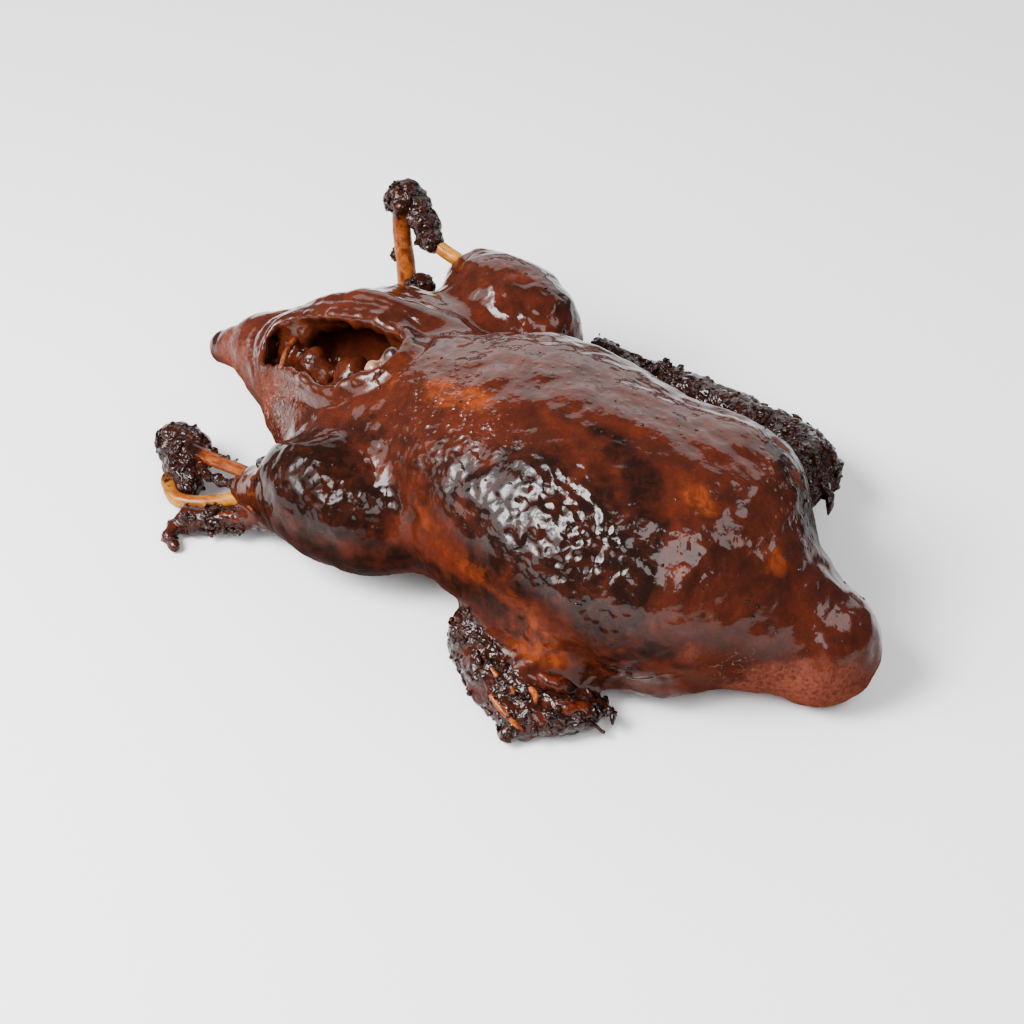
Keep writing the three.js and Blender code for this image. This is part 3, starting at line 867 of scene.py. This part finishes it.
def tube_rings(rows, turn):
    """A ring of points round each row and round three more at either end, and the middle of each."""
    tangents = np.gradient(rows[:, :3], axis=0)
    tangents /= np.linalg.norm(tangents, axis=1)[:, None]
    last = len(rows) - 1
    places = [(0, -share) for share in DOME] + [(i, 0) for i in range(len(rows))]
    places += [(last, share) for share in reversed(DOME)]
    side = np.cross(tangents[0], ODD_WAY)
    rings, middles = [], []
    for i, out in places:
        side = side - tangents[i] * (side @ tangents[i])
        side /= np.linalg.norm(side)
        other = np.cross(tangents[i], side)
        radius = rows[i, 3] * math.sqrt(1 - out * out)
        centre = rows[i, :3] + tangents[i] * out * rows[i, 3]
        rings.append(centre + radius * (np.cos(turn)[:, None] * side + np.sin(turn)[:, None] * other))
        middles.append(rows[i, :3])
    return rings, np.array(middles)


def tube_faces(count, sides):
    """Triangles between so many rings, and fans to the two tips that follow the rings' points."""
    def at(ring, s):
        return ring * sides + s % sides

    r, s = np.meshgrid(np.arange(count - 1), np.arange(sides), indexing="ij")
    quads = np.stack([at(r, s), at(r, s + 1), at(r + 1, s + 1), at(r + 1, s)], -1).reshape(-1, 4)
    s = np.arange(sides)
    first, last = np.full(sides, count * sides), np.full(sides, count * sides + 1)
    return np.concatenate([
        quads[:, [0, 1, 2]], quads[:, [0, 2, 3]],
        np.stack([first, at(0, s + 1), at(0, s)], -1),
        np.stack([last, at(count - 1, s), at(count - 1, s + 1)], -1)])


def tube_mesh(name, stations, look, slot, node, char_ends, sides, rough, seed):
    """A swept tube with domed ends and an uneven surface, and crust on so much of each end."""
    turn = np.linspace(0, 2 * np.pi, sides, endpoint=False)
    rings, middles = tube_rings(curve_through(stations, CURVE_STEPS), turn)
    points = np.concatenate(rings)
    tips = np.stack([rings[0].mean(0), rings[-1].mean(0)])
    away = points - np.repeat(middles, sides, axis=0)
    away /= np.maximum(np.linalg.norm(away, axis=1), TINY)[:, None]
    points = points + away * (wave(points, 4, seed) * rough)[:, None]
    along = np.append(np.linspace(0, 1, len(rings)).repeat(sides), [0, 1])
    char = smooth(1 - along / 0.25) * char_ends[0] + smooth(1 - (1 - along) / 0.4) * char_ends[1]
    piece = new_mesh(name, np.concatenate([points, tips]), tube_faces(len(rings), sides), {"char": char})
    dress(piece, look, slot, node)


def lump_mesh(name, stations, look, node, seed):
    """A burnt joint with grains standing out of it. Gives its points and outward directions."""
    rows = np.array(stations, float)
    reach = rows[:, 3:] + LUMP_MARGIN
    low, high = (rows[:, :3] - reach).min(0), (rows[:, :3] + reach).max(0)
    field = limb(stations)
    points, quads = field_net(field, low, high, LUMP_CELL, coarse=4)
    points, normals = settle(field, points)
    height = crumble(points, 5, seed) * 1.5 + crumble(points, 2.6, seed + 1) * 0.8 - 1.0
    height = height + wave(points, 9, seed) * 0.8
    points = points + normals * height[:, None]
    dress(new_mesh(name, points, quads), look, "burnt", node)
    return points, normals


amber = bone_look("amber_bone", stain=(0.20, 0.048, 0.006), pale=(0.42, 0.175, 0.020), size_mm=6, along=2.5)
brown = bone_look("brown_bone", stain=(0.07, 0.010, 0.003), pale=(0.21, 0.050, 0.010), size_mm=4, along=3.0)
stained = bone_look("stained_bone", stain=(0.085, 0.011, 0.003), pale=(0.27, 0.072, 0.012), size_mm=7)
crust = crust_look()
gristle = gristle_look()

# Piece, stations, look, slot, the CAD node that it replaces, crust on its ends, sides and seed.
BONES = [
    ("bone_tibia_left", TIBIA_LEFT, amber, "bone", "tibia_left", (0.3, 0.45), 20, 1),
    ("bone_tarsus_left", TARSUS_LEFT, brown, "shank", "tarsus_left", (0.6, 0.8), 20, 2),
    ("bone_tibia_right", TIBIA_RIGHT, amber, "bone", "tibia_right", (0.2, 0.8), 20, 3),
    ("bone_tarsus_right", TARSUS_RIGHT, stained, "shank", "tarsus_right", (0.5, 0.5), 20, 4),
    ("bone_pubic", PUBIC_BONE, brown, "bone", "pubic_bone", (0.5, 0.1), 14, 5),
]
for name, stations, look, slot, node, char_ends, sides, seed in BONES:
    tube_mesh(name, stations, look, slot, node, char_ends, sides, BONE_ROUGH, seed)

joints = [
    lump_mesh("burnt_hock_left", HOCK_LEFT, crust, "hock_left", seed=1),
    lump_mesh("burnt_hock_right", HOCK_RIGHT, crust, "hock_right", seed=2),
    lump_mesh("burnt_foot_right", FOOT_RIGHT, crust, "foot_right", seed=3),
]

# Dried shreds of skin, shafts of feathers left in the wing, thin sinews and torn red flesh.
SHREDS = [
    [[-131, -49, 15, 2.6], [-119, -55, 16, 2.2], [-106, -56, 18, 2.4], [-97, -55, 20, 3.2],
     [-88, -54, 24, 4]],
    [[-134, -58, 12, 3.0], [-126, -57, 13, 2.4], [-121, -54, 15, 1.6]],
    [[-108, -77, 9, 3.6], [-106, -75, 9.5, 3.0]],
    [[96, -56, 9, 1.6], [101, -54, 10, 1.0], [104, -57, 7, 0.6]],
    [[92, -66, 8, 2.4], [99, -62, 7, 1.6], [103, -61, 5, 0.8]],
    [[-88, -51, 34, 2.6], [-84, -49, 36, 2.2], [-80, -50, 39, 1.0]],
    [[92, 97, 28, 3.4], [99, 94, 26.5, 2.6], [103, 91, 23, 1.8], [104, 89, 20, 1.0]],
]
SHAFTS = [
    [[64, -81.5, 15.5, 0.9], [73, -83.5, 12.5, 1.4], [82, -83.5, 9, 0.8]],
    [[74, -72, 19.5, 0.9], [78, -72.5, 18.5, 1.4], [81, -74.5, 16, 0.8]],
    [[69.5, -76, 19.5, 0.7], [72.5, -77.5, 18.5, 1.1]],
    [[58, -75.5, 23, 0.8], [63, -76.5, 21, 1.1]],
]
SINEWS = [
    [[-93, -59, 16.5, 0.8], [-84, -63.5, 20.5, 0.7], [-74, -69.5, 27, 0.5]],
    [[-100, -56, 15.5, 0.7], [-88, -58, 18.5, 0.7], [-80, -61, 21, 0.5]],
]
TORN_FLESH = [
    [[75, -65.5, 20.5, 2.4], [79, -66.5, 20.5, 2.8], [83, -63, 19.5, 3.0], [87, -60, 16.5, 2.0]],
    [[85, -67.5, 14, 2.4], [90, -66.5, 13.5, 3.0], [94, -62, 11.5, 3.2], [98, -60, 8, 2.0]],
    [[-105, -71, 8.5, 2.8], [-95, -67, 11.5, 3.0], [-86, -62.5, 14.5, 2.6]],
]
shaft = bone_look("feather_shaft", stain=(0.10, 0.020, 0.004), pale=(0.30, 0.070, 0.010), size_mm=3)
flesh = bone_look("red_flesh", stain=(0.025, 0.005, 0.003), pale=(0.085, 0.013, 0.004), size_mm=4)
for kind, rows, look, slot, rough in (
        ("burnt_shred", SHREDS, crust, "burnt", 1.2), ("feather_shaft", SHAFTS, shaft, "bone", 0.3),
        ("sinew", SINEWS, shaft, "bone", 0.3), ("torn_flesh", TORN_FLESH, flesh, "skin", 1.3)):
    for number, stations in enumerate(rows):
        tube_mesh(f"{kind}_{number}", stations, look, slot, None, (0.7, 0.7), 12, rough, 10 + number)

cartilage_field = join(mass(**CARTILAGE[0]), mass(**CARTILAGE[1]), 2)
points, quads = field_net(cartilage_field, *GRISTLE_BOX, GRISTLE_CELL, coarse=4)
points, normals = settle(cartilage_field, points)
points = points + normals * (wave(points, 5, 7) * 0.5)[:, None]
browned = {"char": smooth((points[:, 2] - 80.5 + wave(points, 4, 8)) / 5)}
dress(new_mesh("gristle_keel", points, quads, browned), gristle, "cartilage", "keel_cartilage")

# ------------------------------------------------------------
# Burnt crumbs stuck on the wings, toes and joints, and specks of sauce on the skin
# ------------------------------------------------------------

BALL_RINGS, BALL_SIDES = 4, 7
UNEVEN = 0.24         # of a lump's radius
WIDTHS, HEIGHTS = (0.6, 1.0), (0.7, 1.2)   # least and most, of a lump's size
LIFT = 0.1            # of a lump's height, which its middle is above the surface
LOWEST = 0.1          # millimetres above the floor
BEAD_STEPS = 30       # from one place of a line of crumbs to the next
BEAD_SPREAD = 0.6
BEAD_UP = [0.0, -0.3, 0.95]


def ball():
    """Points and triangles of a coarse unit ball."""
    points = [[0, 0, 1]]
    for i in range(1, BALL_RINGS):
        down = math.pi * i / BALL_RINGS
        for s in range(BALL_SIDES):
            turn = 2 * math.pi * (s + 0.5 * (i % 2)) / BALL_SIDES
            points.append([math.sin(down) * math.cos(turn), math.sin(down) * math.sin(turn), math.cos(down)])
    points.append([0, 0, -1])

    def at(i, s):
        return 1 + (i - 1) * BALL_SIDES + s % BALL_SIDES

    faces = []
    for s in range(BALL_SIDES):
        faces.append([0, at(1, s), at(1, s + 1)])
        faces.append([len(points) - 1, at(BALL_RINGS - 1, s + 1), at(BALL_RINGS - 1, s)])
        for i in range(1, BALL_RINGS - 1):
            faces.append([at(i, s), at(i + 1, s), at(i + 1, s + 1)])
            faces.append([at(i, s), at(i + 1, s + 1), at(i, s + 1)])
    return np.array(points, float), np.array(faces)


def merged(parts):
    """Points and faces of several meshes as one."""
    starts = np.cumsum([0] + [len(points) for points, _ in parts])
    faces = [faces + start for (_, faces), start in zip(parts, starts)]
    return np.concatenate([points for points, _ in parts]), np.concatenate(faces)


def scatter(rng, points, normals, weights, count, sizes, flat, stretch=1.6):
    """Uneven little lumps half sunk in a surface, more of them where the weights are larger."""
    shape, faces = ball()
    smallest, largest = sizes
    chosen = rng.choice(len(points), size=count, p=weights / weights.sum())
    lumps = []
    for i in chosen:
        size = smallest + (largest - smallest) * rng.random() ** 2
        lump = shape * (1 + rng.normal(0, UNEVEN, (len(shape), 1)))
        longer = 1 + stretch * rng.random() ** 3
        lump = lump * np.array([longer, rng.uniform(*WIDTHS), flat * rng.uniform(*HEIGHTS)]) * size
        up = normals[i]
        side = np.cross(up, rng.normal(size=3))
        side /= np.linalg.norm(side)
        turned = lump @ np.stack([side, np.cross(up, side), up])
        lumps.append((turned + points[i] + up * size * flat * LIFT, faces))
    out, faces = merged(lumps)
    out[:, 2] = np.maximum(out[:, 2], LOWEST)
    return out, faces


# Lines along which crumbs have set: places, count and largest radius.
BEADED = [
    ([[-107, -67, 11], [-98, -65, 13], [-89, -64, 15]], 36, 1.5),
    ([[-108, -78, 7], [-98, -73, 5], [-86, -66, 8]], 40, 1.7),
    ([[-128, -47.5, 20], [-113, -49, 23.6], [-104, -49.5, 25]], 30, 1.4),
    ([[-78, 74, 69], [-80, 80, 70], [-79, 83, 65]], 26, 2.0),
    ([[-123.4, 75, 66], [-122.4, 73, 60]], 16, 2.4),
    ([[-124.4, 75.4, 82], [-123.8, 74.4, 72]], 14, 1.3),
    ([[98, -57, 10], [103, -53, 8]], 12, 1.3),
    ([[-40, 122, 20], [-47, 124, 24]], 14, 1.8),
    ([[-107, -76, 11], [-110, -78, 10]], 16, 2.2),
]

rng = np.random.default_rng(7)
burnt_weight = np.where(duck_masks["burnt"] > 0.5, duck_masks["burnt"], 0)
parts = [scatter(rng, duck_points, duck_normals, burnt_weight, count=620, sizes=(0.6, 2.2), flat=0.7)]
for points, normals in joints:
    parts.append(scatter(rng, points, normals, np.ones(len(points)), count=45, sizes=(0.6, 2.0), flat=0.8))
for stations, count, largest in BEADED:
    line = curve_through(stations, BEAD_STEPS)
    points = line + rng.normal(0, BEAD_SPREAD, line.shape)
    up = np.tile(BEAD_UP, (len(line), 1))
    parts.append(scatter(rng, points, up, np.ones(len(line)), count, sizes=(0.6, largest), flat=0.9))
dress(new_mesh("burnt_crumbs", *merged(parts)), crust, "burnt")

upper = (duck_normals[:, 2] > 0.3) & (duck_points[:, 0] > -60)
speck_weight = np.where(upper & (duck_masks["burnt"] < 0.1), 1.0, 0.0)
specks = scatter(
    rng, duck_points, duck_normals, speck_weight, count=210, sizes=(0.3, 0.95), flat=0.5, stretch=0.3)
dress(new_mesh("sauce_specks", *specks), crust, "burnt")

# ------------------------------------------------------------
# Floor, lights and camera
# ------------------------------------------------------------

# Name, azimuth and elevation as seen from the duck, distance, width and height in metres, and watts.
SOFTBOXES = [
    ("key_core", -112, 48, 1.15, 0.42, 0.42, 20),
    ("key_middle", -113, 46, 1.2, 0.74, 0.7, 22),
    ("key_wide", -122, 38, 1.4, 1.35, 1.15, 22),
    ("fill_right", -38, 45, 1.3, 0.5, 0.65, 9),
    ("rim_right", 38, 44, 1.3, 0.7, 0.4, 5),
    ("backdrop", 120, 27, 2.2, 3.0, 1.5, 30),
]
LIT_POINT = Vector((0.02, 0, 0.04))
WORLD_STRENGTH = 0.25
CAMERA_PLACE = (0.4853, -0.5720, 0.6293)
CAMERA_TURN, CAMERA_TILT = 39.94, 39   # from the bird's left towards its neck, and down
FOCAL_PIXELS, PHOTO_PIXELS, SENSOR_MM = 2320, 1024, 36


def floor():
    bpy.ops.mesh.primitive_plane_add(size=8, location=(0, 0, 0))
    plane = bpy.context.object
    plane.name = "floor"
    look = Look("floor")
    look.set(Base_Color=FLOOR_GREY, Roughness=0.6)
    plane.data.materials.append(look.material)
    plane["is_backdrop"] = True


def softbox(name, azimuth, elevation, distance, width, height, power):
    """A rectangular light that faces the duck."""
    a, e = math.radians(azimuth), math.radians(elevation)
    away = Vector((math.cos(a) * math.cos(e), math.sin(a) * math.cos(e), math.sin(e)))
    light = bpy.data.lights.new(name, "AREA")
    light.shape = "RECTANGLE"
    light.size, light.size_y = width, height
    light.energy = power
    lamp = bpy.data.objects.new(name, light)
    lamp.location = LIT_POINT + away * distance
    lamp.rotation_euler = away.to_track_quat("Z", "Y").to_euler()
    bpy.context.scene.collection.objects.link(lamp)


def studio():
    for row in SOFTBOXES:
        softbox(*row)
    world = bpy.data.worlds.new("studio")
    bpy.context.scene.world = world
    world.use_nodes = True
    world.node_tree.nodes["Background"].inputs["Color"].default_value = WORLD_WHITE
    world.node_tree.nodes["Background"].inputs["Strength"].default_value = WORLD_STRENGTH


def camera():
    """The photograph's point of view: a long lens, high over the bird's left side, towards its neck."""
    data = bpy.data.cameras.new("camera")
    data.sensor_width = SENSOR_MM
    data.lens = FOCAL_PIXELS / PHOTO_PIXELS * SENSOR_MM
    data.clip_start = 0.01
    view = bpy.data.objects.new("camera", data)
    turn, tilt = math.radians(CAMERA_TURN), math.radians(CAMERA_TILT)
    ahead = Vector((-math.sin(turn) * math.cos(tilt), math.cos(turn) * math.cos(tilt), -math.sin(tilt)))
    view.location = CAMERA_PLACE
    view.rotation_euler = ahead.to_track_quat("-Z", "Y").to_euler()
    bpy.context.scene.collection.objects.link(view)
    bpy.context.scene.camera = view


floor()
studio()
camera()

seen_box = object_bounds()
boxes = {"cad": cad_box, "visual": seen_box}
{key: [[float(v) for v in corner] for corner in box] for key, box in boxes.items()}
